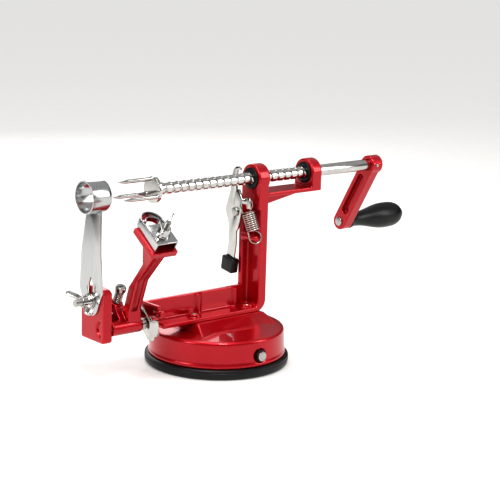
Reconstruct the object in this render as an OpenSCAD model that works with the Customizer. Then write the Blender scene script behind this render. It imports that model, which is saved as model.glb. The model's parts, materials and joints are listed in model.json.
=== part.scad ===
// Hand-cranked apple peeler, corer and slicer on a suction base.
// The origin is the centre of the suction foot on the table. +X runs along the
// feed screw towards the crank, +Y is the side of the suction lever, +Z is up.

/* [Base] */
// Outer diameter of the rubber foot
foot_d = 104; // [102:1:106]
// Height of the rubber foot
foot_h = 7.5; // [6.5:0.5:8]
// Wall thickness of the cast base
base_wall = 2.5; // [2:0.1:3]
// Length of the suction lever from the camshaft
lever_len = 52; // [40:1:60]

/* [Frame] */
// Height of the platform that carries the frame
deck_z = 34; // [33.5:0.5:34]
// Height of the feed screw above the table
screw_z = 131; // [128:1:136]
// Depth of the cast flanges
flange_w = 20; // [18:1:22]
// Thickness of the cast web
web_t = 4; // [3:0.5:5]

/* [Feed screw] */
// Crest diameter of the feed screw
screw_d = 8.6; // [8.2:0.1:9]
// Pitch of the feed screw
pitch = 6.35; // [5.5:0.05:7]
// Radius of the crank
crank_r = 57; // [50:1:65]
// Length of the grip
grip_len = 58; // [50:1:65]

/* [Tools] */
// Outer diameter of the coring ring
ring_d = 22.6; // [22:0.1:24]
// Thickness of the blade steel
blade_t = 1.2; // [1:0.1:1.5]
// Width of the peeling blade
peel_w = 16.6; // [15:0.1:18]

/* [Hidden] */

$fn = 64;
red = "firebrick";
steel = "silver";
black = "dimgray";
fit = 0.05;                     // radial running clearance
gap = 0.3;                      // clearance between faces that pass each other
half_w = flange_w / 2;

// Base and suction drive
foot_r = foot_d / 2;
skirt_r = foot_r - 2.4;
rim_z = 26.7;
rim_r = foot_r - 3.8;
dome_z = 29.5;
deck_x = [-28, 33];
deck_y = 13;
deck_run = 13;                   // how far the platform's long sides slope out
cam_z = 15;
cam_r = 4.5;
cam_throw = 2.5;
recess_y = -(rim_r - 2.6);
shaft_end = -(rim_r + 3.2);
lever_y = rim_r + 3;
shaft_d = 6;
yoke_w = 20;
yoke_t = 7;
window_z = [11.7, 22.6];
stud_foot_z = 6.9;
stud_d = 6;
stud_top = 31.5;

// Frame casting
web_y = [3, 3 + web_t];
beam_top = 52;
beam_x0 = -63;
flange_t = 3;
column_x = [24, 37];
column_flange_t = 7;
corner_r = 8;
neck_x = 28.5;
neck_z = 109;
eye_d = flange_w + 0.6;
eye_bore = 14.1;
rear_x = [79.5, 88.5];
shelf_z = [118, 121];
post_x = 24.5;
post_z = 89;
screw_x = [-24, 24];
screw_y = -4;

// Blade post at the far end of the beam
plate_x = [-106, -99];
plate_y = [-10, 17];
plate_z = [31, 68];
plate_mid = 3.5;
crescent_at = [-7.2, 41];
bolt_z = 59;
bolt_d = 5;
link_y = [2, 14];
link_z = [38, 47];

// Peeling arm
arm_y = -7;
arm_z = 40;
arm_pin_d = 5;
barrel_d = 10;
barrel_x = [-98.5, -74.5];
arm_x = -80;
arm_w = 10;
arm_inner = [[-3.4, 41], [-3.4, 49], [-15.8, 71], [-37.6, 91.6], [-40, 105]];
arm_outer = [[-55, 101], [-26.4, 76], [-11.8, 51.4], [-10.8, 41]];
arm_groove = [[-54, 102.1], [-25.2, 77], [-10.4, 52.2], [-20, 47], [-40, 66], [-62, 96]];
arm_lean = 8.7;
arm_slope = 36.9;
pad_at = [-92, -57.9, 103.1];
pad_tilt = 35;
blade_wall_h = 7.2;
blade_len = 29.3;
peel_screw_y = 8;
peel_screw_d = 4;
lug_at = [-87, 5.6, 47.56];
catch_x = [-69.8, -68];
adjust_tilt = 24.4;

// Release lever
release_x = [20, 21.5];
release_pivot_at = [6, 106.5];
spring_top = [20.8, -4.4, 112.8];
spring_end = [24.5, -11, 90];

// Feed screw, crank and fork
thread_turns = 22;
tooth_turns = 12.25;              // turns from the start of the thread to the release tooth
thread_x0 = release_x[0] + 0.75 - tooth_turns * pitch;
thread_x1 = thread_x0 + pitch * (thread_turns + 2);
rod_x1 = 150;
core_d = 6.8;
groove_w = 2.4;
rod_d = screw_d - 0.2;
crank_x = [145, 153.5];
crank_a = 30;
crank_y = crank_r * sin(crank_a);
crank_z = screw_z - crank_r * cos(crank_a);
grip_x = [154.2, 154.2 + grip_len];
fork_x = [-88, -60];
fork_r = 7.6;
prong_d = 3;

// Shared shapes

// Cylinder along X between two places, at y and z
module x_rod(x, d, y = 0, z = 0) {
    translate([x[0], y, z]) rotate([0, 90, 0]) cylinder(h = x[1] - x[0], d = d);
}

// Cylinder along Y between two places, at x and z
module y_rod(y, d, x = 0, z = 0) {
    translate([x, y[1], z]) rotate([90, 0, 0]) cylinder(h = y[1] - y[0], d = d);
}

// Cylinder along Z between two heights, at x and y
module z_rod(z, d, x = 0, y = 0) {
    translate([x, y, z[0]]) cylinder(h = z[1] - z[0], d = d);
}

// Box between two places on each axis
module block(x, y, z) {
    translate([x[0], y[0], z[0]]) cube([x[1] - x[0], y[1] - y[0], z[1] - z[0]]);
}

// Flat shape drawn in X and Z, given a depth along Y
module xz_plate(y) {
    translate([0, y[1], 0]) rotate([90, 0, 0]) linear_extrude(y[1] - y[0]) children();
}

// Flat shape drawn in Y and Z, given a depth along X
module yz_plate(x) {
    translate([x[0], 0, 0]) rotate([90, 0, 90]) linear_extrude(x[1] - x[0]) children();
}

// Round-ended flat bar from p to q
module bar_2d(p, q, w) {
    along = q - p;
    translate(p) rotate(atan2(along.y, along.x)) translate([0, -w / 2]) square([norm(along), w]);
    translate(p) circle(d = w);
    translate(q) circle(d = w);
}

// Rectangle with round corners, from one corner to the other
module round_rect(a, b, r) {
    square_x = [a.x + r, b.x - r];
    square_y = [a.y + r, b.y - r];
    translate([square_x[0], a.y]) square([square_x[1] - square_x[0], b.y - a.y]);
    translate([a.x, square_y[0]]) square([b.x - a.x, square_y[1] - square_y[0]]);
    for (x = square_x, y = square_y) translate([x, y]) circle(r);
}

// Round wire wound into a coil that rises along Z from the origin
module coil(r, wire, turns, rise, around = 20, sides = 6) {
    rings = round(turns * around);
    ring = function(i) [for (k = [0 : sides - 1])
        let (turn = 360 * i / around, a = 360 * k / sides, reach = r + wire / 2 * cos(a))
            [reach * cos(turn), reach * sin(turn), rise * i / rings + wire / 2 * sin(a)]];
    points = [for (i = [0 : rings]) each ring(i)];
    walls = [for (i = [0 : rings - 1], k = [0 : sides - 1])
        let (a = i * sides + k, b = i * sides + (k + 1) % sides) [a, b, b + sides, a + sides]];
    start = [for (k = [sides - 1 : -1 : 0]) k];
    end = [for (k = [0 : sides - 1]) rings * sides + k];
    polyhedron(points = points, faces = concat(walls, [start], [end]), convexity = 8);
}

// Hook loop of round wire that lies in the X and Z plane
module wire_loop(r, wire) {
    rotate([90, 0, 0]) rotate_extrude() translate([r, 0]) circle(d = wire, $fn = 24);
}

// Wing nut on a bolt that points up along Z, with its base at the origin
module wing_nut(bore, span) {
    difference() {
        union() {
            cylinder(h = 1.2, d = 10);
            cylinder(h = 6.5, d = 8);
            for (side = [0, 180]) rotate(side) rotate([90, 0, 0]) translate([0, 0, -0.9])
                linear_extrude(1.8) bar_2d([3, 3.8], [span / 2 - 3, 8], 6);
        }
        translate([0, 0, -1]) cylinder(h = 9, d = bore + 2 * fit);
        translate([0, 0, 6.5]) cylinder(h = 9, d = 7.9);
    }
}

// Base

module suction_ring() {
    color(black) rotate_extrude() difference() {
        union() {
            translate([foot_r - 10, 0]) square([9, foot_h]);
            translate([foot_r - 2, 1.2]) square([2, foot_h - 2.8]);
            translate([foot_r - 2, 1.9]) circle(1.9);
            translate([foot_r - 1.6, foot_h - 1.6]) circle(1.6);
        }
        translate([foot_r - 12, 3.2]) square([6, 9]);
    }
}

module diaphragm() {
    color(black) rotate_extrude() polygon([
        [0, 4.2], [15, 4.2], [30, 0.9], [foot_r - 10, 0.9],
        [foot_r - 10, 3], [30, 3], [15, stud_foot_z], [0, stud_foot_z]
    ]);
}

// Raised platform with sloping sides that the frame stands on
module deck_shape() {
    intersection() {
        xz_plate([-30, 30]) polygon([
            [deck_x[0] - 5, rim_z], [deck_x[0], deck_z], [deck_x[1], deck_z], [deck_x[1] + 4, rim_z]
        ]);
        yz_plate([-60, 60]) polygon([
            [-deck_y - deck_run, rim_z], [-deck_y, deck_z], [deck_y, deck_z], [deck_y + deck_run, rim_z]
        ]);
    }
}

module base_housing() {
    inner_rim = rim_r - base_wall;
    color(red) difference() {
        union() {
            difference() {
                union() {
                    rotate_extrude() {
                        polygon([
                            [0, foot_h], [skirt_r, foot_h], [skirt_r, foot_h + 2.4],
                            [skirt_r - 0.6, foot_h + 3], [rim_r + 0.3, rim_z - 2.2],
                            [rim_r - 1.9, rim_z], [30, dome_z - 0.8], [0, dome_z]
                        ]);
                        translate([rim_r - 1.9, rim_z - 2.2]) circle(2.2);
                    }
                    deck_shape();
                }
                rotate_extrude() polygon([
                    [0, foot_h - 1], [skirt_r - base_wall - 1, foot_h - 1],
                    [inner_rim, rim_z - 4], [inner_rim - 2, rim_z - base_wall],
                    [0, dome_z - base_wall - 0.5]
                ]);
            }
            // Bosses that carry the camshaft
            y_rod([-rim_r + 0.7, -36], 14, 0, cam_z);
            y_rod([36, lever_y - gap], 12, 0, cam_z);
        }
        y_rod([-60, 60], shaft_d + 2 * fit, 0, cam_z);
        y_rod([-60, recess_y], 10, 0, cam_z);
        z_rod([20, stud_top + 1], stud_d + 2 * fit);
        for (x = screw_x) z_rod([20, deck_z + 1], 5, x, screw_y);
    }
}

module pad_stud() {
    color(steel) difference() {
        union() {
            z_rod([stud_foot_z, 9.4], 28);
            block([-yoke_w / 2, yoke_w / 2], [-yoke_t / 2, yoke_t / 2], [9.4, 24.8]);
            z_rod([24.8, stud_top], stud_d);
        }
        block([-yoke_w / 2 + 2, yoke_w / 2 - 2], [-yoke_t, yoke_t], window_z);
    }
}

module cam_shaft() {
    color(steel) {
        y_rod([shaft_end, lever_y + 13.3], shaft_d, 0, cam_z);
        y_rod([-3, 3], 2 * cam_r, 0, cam_z + cam_throw);
        y_rod([shaft_end, shaft_end + 1.2], shaft_d + 0.8, 0, cam_z);
    }
}

module cam_clip() {
    color(black) difference() {
        y_rod([shaft_end + 1.2, shaft_end + 2.6], 8.6, 0, cam_z);
        y_rod([shaft_end, shaft_end + 4], shaft_d, 0, cam_z);
    }
}

module suction_lever() {
    color(red) difference() {
        union() {
            xz_plate([lever_y + 1.8, lever_y + 8.8]) bar_2d([0, cam_z], [lever_len - 12, cam_z], 11);
            y_rod([lever_y, lever_y + 10.8], 14, 0, cam_z);
            xz_plate([lever_y + 1.8, lever_y + 12.8])
                bar_2d([lever_len - 20, cam_z], [lever_len, cam_z], 11);
        }
        y_rod([lever_y - 1, lever_y + 12], shaft_d, 0, cam_z);
    }
}

module lever_nut() {
    color(steel) difference() {
        y_rod([lever_y + 10.8, lever_y + 14.3], 10, 0, cam_z, $fn = 6);
        y_rod([lever_y, lever_y + 13.3], shaft_d, 0, cam_z);
    }
}

module frame_screws() {
    color(steel) for (x = screw_x) {
        z_rod([deck_z - 9.5, deck_z - 7], 9, x, screw_y);
        z_rod([deck_z - 7.5, deck_z + flange_t + 2.5], 5, x, screw_y);
    }
}

// Frame

module frame_outline() {
    polygon([
        [beam_x0, beam_top], [column_x[0], beam_top], [column_x[0], neck_z],
        [neck_x, neck_z], [neck_x, shelf_z[0]], [rear_x[0], shelf_z[0]],
        [rear_x[0], shelf_z[0] - 2.5], [column_x[1] + 6, neck_z], [column_x[1], neck_z - 7],
        [column_x[1], deck_z + 8], [column_x[1] - 8, deck_z], [-56, deck_z], [beam_x0, 41]
    ]);
}

module flange_outline() {
    difference() {
        union() {
            translate([-56, deck_z]) square([column_x[1] - corner_r + 56, flange_t]);
            translate([column_x[1] - column_flange_t, deck_z + corner_r])
                square([column_flange_t, screw_z - deck_z - corner_r]);
            translate([column_x[1] - corner_r, deck_z + corner_r]) circle(corner_r);
            translate([column_x[1] - 14, deck_z]) square([6, 8]);
        }
        translate([-60, deck_z + flange_t]) square([column_x[1] - column_flange_t + 60 - 4, 40]);
        translate([column_x[1] - column_flange_t - 4, deck_z + flange_t + 4]) circle(4);
        translate([column_x[1] - column_flange_t - 8, deck_z + flange_t + 4]) square([8, 30]);
    }
}

module blade_post() {
    difference() {
        yz_plate(plate_x) difference() {
            union() {
                round_rect([plate_y[0], plate_z[0]], [plate_y[1], plate_z[1] - 6], 2);
                polygon([
                    [plate_y[0], 40], [plate_y[0], plate_z[1] - 2], [plate_y[0] + 3, plate_z[1]],
                    [plate_mid + 4, plate_z[1] + 1], [plate_y[1], plate_z[1] - 8], [plate_y[1], 40]
                ]);
            }
            translate([plate_mid, bolt_z]) circle(d = bolt_d);
        }
        x_rod([plate_x[0] + 2.4, plate_x[1] + 1], arm_pin_d, arm_y, arm_z);
        yz_plate([plate_x[0] - 1, plate_x[0] + 1.6]) difference() {
            translate(crescent_at) circle(5.6);
            translate(crescent_at - [2.6, 0]) circle(5.4);
            translate(crescent_at - [8, 8]) square([8, 16]);
        }
    }
}

module frame_casting() {
    color(red) difference() {
        union() {
            xz_plate(web_y) frame_outline();
            xz_plate([-half_w, half_w]) flange_outline();
            block([column_x[1], rear_x[0] + 1], [-half_w, half_w], shelf_z);
            block([neck_x, column_x[1]], [-half_w, half_w], [neck_z, screw_z]);
            block(rear_x, [-half_w, half_w], [shelf_z[0], screw_z]);
            x_rod([neck_x, column_x[1] + 1], eye_d, 0, screw_z);
            x_rod(rear_x, eye_d, 0, screw_z);
            // Ribs, spring post and stop post on the near side of the web
            for (x = [-15.5, 18]) z_rod([deck_z, beam_top - 1], 5, x, web_y[0] + 0.5);
            y_rod([-12.6, web_y[0]], 4.4, post_x, post_z);
            y_rod([-3, web_y[0]], 8, post_x + 2, post_z);
            block([beam_x0, beam_x0 + 3], [-13, web_y[1]], [43, beam_top]);
            y_rod([-16, -11], 5, beam_x0 + 2.6, 46);
            y_rod([-12.5, -8], 7, beam_x0 + 2.6, 46);
            for (x = screw_x) z_rod([deck_z, deck_z + flange_t + 2.5], 9, x, screw_y);
            // Boss for the release lever's pivot
            x_rod([release_x[1] + gap, neck_x + 1], 8.5, release_pivot_at[0], release_pivot_at[1]);
            // Link from the beam to the blade post
            block([plate_x[1] - 1, beam_x0 + 6], link_y, link_z);
            blade_post();
        }
        for (x = [[neck_x - 1, column_x[1] + 2], [rear_x[0] - 1, rear_x[1] + 1]])
            x_rod(x, eye_bore, 0, screw_z);
        for (x = screw_x) z_rod([deck_z - 1, deck_z + flange_t + 3], 5, x, screw_y);
        x_rod([15, neck_x - 2], 3, release_pivot_at[0], release_pivot_at[1]);
        // Notch that the catch swings in
        block([catch_x[0] - 1.6, catch_x[1] + 1.6], [link_y[0] - 1, link_y[0] + 7.5],
            [link_z[0] + 2.5, link_z[1] + 1]);
    }
}

// Feed screw and crank

module bush(x0, x1) {
    difference() {
        union() {
            x_rod([x0 - 1, x0 - 0.1], 15.6, 0, screw_z);
            x_rod([x0 - 0.1, x1 + 0.8], eye_bore - 2 * fit, 0, screw_z);
        }
        x_rod([x0 - 2, x1 + 2], screw_d + 2 * fit, 0, screw_z);
    }
}

module front_bush() {
    color(black) bush(neck_x, column_x[1] + 1);
}

module rear_bush() {
    color(black) bush(rear_x[0], rear_x[1]);
}

// Screw thread along Z with wide flat crests and a narrow groove, ends closed flat
module thread(turns, crest_r, root_r, groove, around = 24) {
    profile = [[-groove / 2, crest_r], [-groove / 4, root_r], [groove / 4, root_r],
        [groove / 2, crest_r]];
    low = -pitch;
    high = pitch * turns + pitch;
    points = concat(
        [for (j = [0 : around * turns], p = profile)
            let (a = 360 * j / around) [p[1] * cos(a), p[1] * sin(a), pitch * j / around + p[0]]],
        [for (j = [0 : around - 1])
            let (a = 360 * j / around) [crest_r * cos(a), crest_r * sin(a), low]],
        [for (j = [0 : around - 1])
            let (a = 360 * j / around) [crest_r * cos(a), crest_r * sin(a), high]]);
    at = function(j, k) 4 * j + k;
    first = 4 * (around * turns + 1);
    ring = function(side, j) first + side * around + j % around;
    groove_faces = [for (j = [0 : around * turns - 1], k = [0 : 2])
        [at(j, k), at(j, k + 1), at(j + 1, k + 1), at(j + 1, k)]];
    crest_faces = [for (j = [0 : around * (turns - 1) - 1])
        [at(j, 3), at(j + around, 0), at(j + around + 1, 0), at(j + 1, 3)]];
    low_faces = [for (j = [0 : around - 2])
        [ring(0, j), at(j, 0), at(j + 1, 0), ring(0, j + 1)]];
    low_edge = [at(around, 0), at(0, 3), at(0, 2), at(0, 1), at(0, 0), ring(0, 0),
        ring(0, around - 1)];
    low_end = [for (i = [0 : 5]) [at(around - 1, 0), low_edge[i], low_edge[i + 1]]];
    top = around * (turns - 1);
    last = around * turns;
    high_faces = [for (j = [1 : around - 1])
        [at(top + j, 3), ring(1, j), ring(1, j + 1), at(top + j + 1, 3)]];
    high_edge = [at(top, 3), at(last, 0), at(last, 1), at(last, 2), at(last, 3), ring(1, 0),
        ring(1, 1)];
    high_end = [for (i = [0 : 5]) [at(top + 1, 3), high_edge[i], high_edge[i + 1]]];
    polyhedron(points = points, faces = concat(groove_faces, crest_faces, low_faces, high_faces,
        low_end, high_end,
        [[for (j = [0 : around - 1]) ring(0, j)]],
        [[for (j = [around - 1 : -1 : 0]) ring(1, j)]]), convexity = 10);
}

module feed_screw() {
    color(steel) {
        translate([thread_x0 + pitch, 0, screw_z]) rotate([0, 90, 0])
            thread(thread_turns, screw_d / 2, core_d / 2, groove_w);
        x_rod([thread_x1 - 1, rod_x1], rod_d, 0, screw_z);
        x_rod([fork_x[1] + 1, thread_x0 + 1], 7, 0, screw_z);
    }
}

module fruit_fork() {
    color(steel) difference() {
        union() {
            x_rod([fork_x[1], fork_x[1] + 2.4], 18.6, 0, screw_z);
            x_rod([fork_x[1], thread_x0 - 0.4], 11, 0, screw_z);
            for (a = [90, 210, 330]) {
                y = fork_r * cos(a);
                z = screw_z + fork_r * sin(a);
                x_rod([fork_x[0] + 6, fork_x[1] + 1], prong_d, y, z);
                translate([fork_x[0], y, z]) rotate([0, 90, 0])
                    cylinder(h = 6, d1 = 0.6, d2 = prong_d);
            }
        }
        x_rod([fork_x[1] + 1, 0], 7, 0, screw_z);
    }
}

module crank_arm() {
    arm_start = [0, screw_z];
    arm_end = [crank_y, crank_z];
    along = (arm_end - arm_start) / crank_r;
    color(red) difference() {
        union() {
            yz_plate(crank_x) bar_2d(arm_start, arm_end, 13);
            x_rod([crank_x[0], crank_x[1] + 1.5], 14, 0, screw_z);
        }
        yz_plate([crank_x[0] - 1, crank_x[0] + 3.5])
            bar_2d(arm_start + 13 * along, arm_end - 12 * along, 6.5);
        x_rod([crank_x[0] - 1, rod_x1], rod_d, 0, screw_z);
        x_rod([crank_x[0] - 1, crank_x[1] + 1], 6, crank_y, crank_z);
        y_rod([-10, 0], 2.5, 149.5, screw_z);
    }
}

module crank_pin() {
    color(steel) y_rod([-7.2, -4.2], 2.5, 149.5, screw_z);
}

module grip_pin() {
    pin_x = grip_x[1] - 7;
    color(steel) {
        x_rod([crank_x[0] - 1, crank_x[0]], 7, crank_y, crank_z);
        x_rod([crank_x[0] - 0.5, pin_x], 6, crank_y, crank_z);
        x_rod([pin_x, pin_x + 1.6], 8.8, crank_y, crank_z);
    }
}

// Radius of the grip at a share of its length
function grip_r(t) = t < 0.12
    ? 6.6 - 9 * t
    : 5.52 + 4.6 * pow(sin(90 * (t - 0.12) / 0.55), 2) * (t < 0.67 ? 1 : 0)
        + (t >= 0.67 ? 4.6 - 1.2 * pow((t - 0.67) / 0.23, 2) : 0);

module grip() {
    steps = 18;
    end_r = grip_r(0.9);
    end_x = grip_len * 0.9;
    color(black) translate([grip_x[0], crank_y, crank_z]) rotate([0, 90, 0]) difference() {
        rotate_extrude() polygon(concat([[0, 0]],
            [for (i = [0 : steps]) [grip_r(0.9 * i / steps), end_x * i / steps]],
            [for (a = [15 : 15 : 75])
                [4.7 + (end_r - 4.7) * cos(a), end_x + (grip_len - end_x) * sin(a)]],
            [[4.7, grip_len], [0, grip_len]]));
        translate([0, 0, -1]) cylinder(h = grip_len, d = 6 + 2 * fit);
        translate([0, 0, grip_len - 7.2]) cylinder(h = 8, d = 9.4);
    }
}

module grip_cap() {
    color(black) {
        x_rod([grip_x[1] - 4, grip_x[1]], 9.4, crank_y, crank_z);
    }
}

// Quick release

// Tongue, belly, spring arm and hooked tooth of the release lever, in Y and Z
module release_outline() {
    polygon([
        [8.4, 65.4], [16.4, 66.6], [13.8, 82.4], [13.4, 94.5], [18, 107], [12.8, 121.6],
        [11.8, 132.6], [9.4, 137.4], [6.6, 139.4], [2.6, 139.8], [2.4, 137.2], [5.6, 136.6],
        [6.4, 131.4], [6.2, 122.8], [3.4, 123], [-0.8, 116.1], [-5.5, 116.1], [-5.6, 118.4],
        [-8.2, 118.2], [-8.7, 110.6], [-6.1, 110.4], [-5.6, 113.5], [-0.4, 113.5],
        [0.8, 104], [3.4, 94.5], [5.4, 92], [5.8, 81.6]
    ]);
}

module release_plate() {
    color(steel) difference() {
        union() {
            yz_plate(release_x) release_outline();
            translate([release_x[0] + 0.35, screw_d / 2 - 0.5, screw_z - 0.8]) cube([0.8, 3, 1.6]);
        }
        x_rod([release_x[0] - 1, release_x[1] + 1], 3 + 2 * fit,
            release_pivot_at[0], release_pivot_at[1]);
    }
}

module release_pivot() {
    color(steel) {
        x_rod([release_x[0] - 1.5, release_x[0] - 0.1], 6.4, release_pivot_at[0], release_pivot_at[1]);
        x_rod([release_x[0] - 0.5, neck_x - 2], 3, release_pivot_at[0], release_pivot_at[1]);
    }
}

module release_cap() {
    color(black) difference() {
        yz_plate([release_x[0] - 2.2, release_x[1] + 2.2])
            translate([12.6, 65]) rotate(9) translate([-6.4, -4]) round_rect([0, 0], [12.8, 11], 1.6);
        yz_plate(release_x) release_outline();
    }
}

module release_spring() {
    loop_reach = 5.3;
    loop_turn = 22;
    along = spring_top - spring_end;
    reach = norm(along);
    lean = acos(along.z / reach);
    heading = atan2(along.y, along.x);
    color(steel) translate(spring_end) rotate([0, lean, heading]) rotate(-heading - loop_turn) {
        translate([0, 0, loop_reach]) coil(4.6, 1, 8, reach - 2 * loop_reach);
        for (end = [0, reach]) translate([0, 0, end]) wire_loop(4.6, 1.1);
        for (end = [0, reach - loop_reach - 0.4]) translate([4.6, 0, end])
            cylinder(h = loop_reach + 0.4, d = 1.1);
    }
}

// Slicing and coring blade

module slicing_blade() {
    foot_at = [plate_mid, 57];
    color(steel) yz_plate([plate_x[0] - blade_t, plate_x[0]]) difference() {
        polygon(concat(
            [
                [plate_mid - 13, 66], [plate_mid - 11, 92], [-8, screw_z - 6],
                [8, screw_z - 6], [plate_mid + 11.5, 92], [plate_mid + 13.5, 66]
            ],
            [for (a = [-10 : -10 : -170]) foot_at + 8.2 * [cos(a), sin(a)]]
        ));
        translate([plate_mid, bolt_z]) circle(d = bolt_d + 0.4);
        // Slot that ends in a point
        polygon([
            [plate_mid - 2.2, bolt_z], [plate_mid - 2.2, bolt_z + 12], [plate_mid, bolt_z + 17],
            [plate_mid + 2.2, bolt_z + 12], [plate_mid + 2.2, bolt_z]
        ]);
        translate([0, screw_z]) circle(d = ring_d);
    }
}

module corer_ring() {
    color(steel) difference() {
        x_rod([plate_x[0] - 9, plate_x[0] + 6], ring_d, 0, screw_z);
        x_rod([plate_x[0] - 10, plate_x[0] + 7], ring_d - 2, 0, screw_z);
    }
}

module blade_bolt() {
    head_x = [plate_x[1], plate_x[1] + 3.4];
    color(steel) {
        x_rod(head_x, 9, plate_mid, bolt_z, $fn = 6);
        x_rod([plate_x[0] - 14, plate_x[1] + 0.5], bolt_d, plate_mid, bolt_z);
    }
}

module blade_washer() {
    color(steel) difference() {
        x_rod([plate_x[0] - blade_t - 1.2, plate_x[0] - blade_t], 11, plate_mid, bolt_z);
        x_rod([plate_x[0] - 5, plate_x[0]], bolt_d, plate_mid, bolt_z);
    }
}

module blade_wing_nut() {
    color(steel) translate([plate_x[0] - blade_t - 1.25, plate_mid, bolt_z])
        rotate([20, 0, 0]) rotate([0, -90, 0]) rotate(90) wing_nut(bolt_d, 30);
}

// Peeling arm

// Places a shape in the frame of the blade pad: +Y inwards, +Z out of the pad
module at_pad() {
    translate(pad_at) rotate([pad_tilt, 0, 0]) children();
}

module peeling_arm() {
    color(red) difference() {
        union() {
            x_rod(barrel_x, barrel_d, arm_y, arm_z);
            translate([arm_x, arm_y, arm_z])
                rotate([arm_slope, 0, 0]) rotate([0, -arm_lean, 0]) rotate([-arm_slope, 0, 0]) {
                translate([0, -arm_y, -arm_z]) difference() {
                    yz_plate([-arm_w / 2, arm_w / 2]) polygon(concat(arm_inner, arm_outer));
                    yz_plate([-2.2, 2.2]) polygon(arm_groove);
                }
            }
            at_pad() translate([-10, -2, -4.2]) cube([20, 25, 4.2]);
            // Lug that carries the adjusting screw
            translate(lug_at) rotate([adjust_tilt, 0, 0]) translate([0, 0, 4.4]) cylinder(h = 4.6, d = 9);
            yz_plate([lug_at.x - 4, lug_at.x + 4]) polygon([
                [arm_y - 2, arm_z + 3], [arm_y + 3, arm_z + 2.4], [3.2, 50.4], [1, 53.6], [-1.6, 53.4]
            ]);
        }
        x_rod([barrel_x[0] - 1, barrel_x[1] + 1], arm_pin_d + 2 * fit, arm_y, arm_z);
        translate(lug_at) rotate([adjust_tilt, 0, 0]) cylinder(h = 14, d = 4 + 2 * fit);
        at_pad() translate([0, peel_screw_y, -7.5]) cylinder(h = 20, d = peel_screw_d);
        at_pad() translate([0, peel_screw_y, -8]) cylinder(h = 3.8, d = 7.4);
    }
}

module arm_pivot_pin() {
    color(steel) {
        x_rod([plate_x[0] + 2.5, -66.2], arm_pin_d, arm_y, arm_z);
        x_rod([-66.4, -65], 8, arm_y, arm_z);
    }
}

module arm_spring() {
    color(steel) translate([-74.1, arm_y, arm_z]) rotate([0, 90, 0]) {
        coil(4.2, 0.9, 3, 2.4);
    }
}

module arm_catch() {
    color(steel) difference() {
        union() {
            yz_plate(catch_x) polygon([
                [4.2, 54.4], [0.2, 53.4], [-10, 44.6], [-13.4, 40.2], [-16.4, 36.6], [-16.4, 29.6],
                [-13.2, 28.4], [-9.6, 30], [-2.4, 36.4], [6, 48.4], [6.8, 52.2]
            ]);
            // Thumb tab
            xz_plate([-16.4, -14.8]) polygon([[-72.6, 44.2], [-65, 43], [-63.6, 31.6], [-70.6, 31.6]]);
        }
        x_rod([-72, -66], arm_pin_d + 2 * fit, arm_y, arm_z);
    }
}

module adjusting_screw() {
    color(steel) translate(lug_at) rotate([adjust_tilt, 0, 0]) {
        translate([0, 0, 1.2]) cylinder(h = 18.8, d = 4);
        cylinder(h = 1.21, d1 = 2.4, d2 = 4);
        translate([0, 0, 18.6]) difference() {
            cylinder(h = 3.4, d = 7.6);
            translate([-5, -0.6, 2]) cube([10, 1.2, 2]);
        }
    }
}

module adjusting_spring() {
    color(steel) translate(lug_at) rotate([adjust_tilt, 0, 0]) translate([0, 0, 9.6])
        coil(2.75, 0.8, 5, 8.2);
}

// Outline of the peeling blade, grown by some amount
module peel_plan(grow) {
    translate([-peel_w / 2 - grow, -grow]) square([peel_w + 2 * grow, blade_len - peel_w / 2 + grow]);
    translate([0, blade_len - peel_w / 2]) circle(peel_w / 2 + grow);
}

module peeling_blade() {
    color(steel) at_pad() difference() {
        linear_extrude(blade_wall_h) peel_plan(0);
        translate([0, -5, -1]) linear_extrude(blade_wall_h - blade_t + 1) {
            translate([0, 5]) peel_plan(-blade_t);
            translate([-peel_w / 2 + blade_t, 0]) square([peel_w - 2 * blade_t, 10]);
        }
        // Throat that the peel passes through
        translate([0, blade_len - peel_w / 2 + 1, 0]) linear_extrude(20) intersection() {
            circle(peel_w / 2 - blade_t - 0.2);
            translate([-20, -5]) square([40, 10]);
        }
        translate([0, peel_screw_y, 0]) cylinder(h = 20, d = peel_screw_d);
    }
}

module peeler_screw() {
    color(steel) at_pad() translate([0, peel_screw_y, 0]) {
        translate([0, 0, -7]) cylinder(h = 2.8, d = 7);
        translate([0, 0, -4.5]) cylinder(h = 23, d = peel_screw_d);
    }
}

module peeler_wing_nut() {
    color(steel) at_pad() translate([0, peel_screw_y, blade_wall_h + 0.05]) rotate(40)
        wing_nut(peel_screw_d, 26);
}

suction_ring();
diaphragm();
base_housing();
pad_stud();
cam_shaft();
suction_lever();
lever_nut();
cam_clip();
frame_screws();
frame_casting();
front_bush();
rear_bush();
feed_screw();
fruit_fork();
crank_arm();
crank_pin();
grip_pin();
grip();
grip_cap();
release_plate();
release_pivot();
release_cap();
release_spring();
slicing_blade();
corer_ring();
blade_bolt();
blade_washer();
blade_wing_nut();
peeling_arm();
arm_pivot_pin();
arm_spring();
arm_catch();
adjusting_screw();
adjusting_spring();
peeling_blade();
peeler_screw();
peeler_wing_nut();
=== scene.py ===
import json
from math import cos, pi, radians, sin

import bpy
from mathutils import Matrix, Vector


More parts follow.
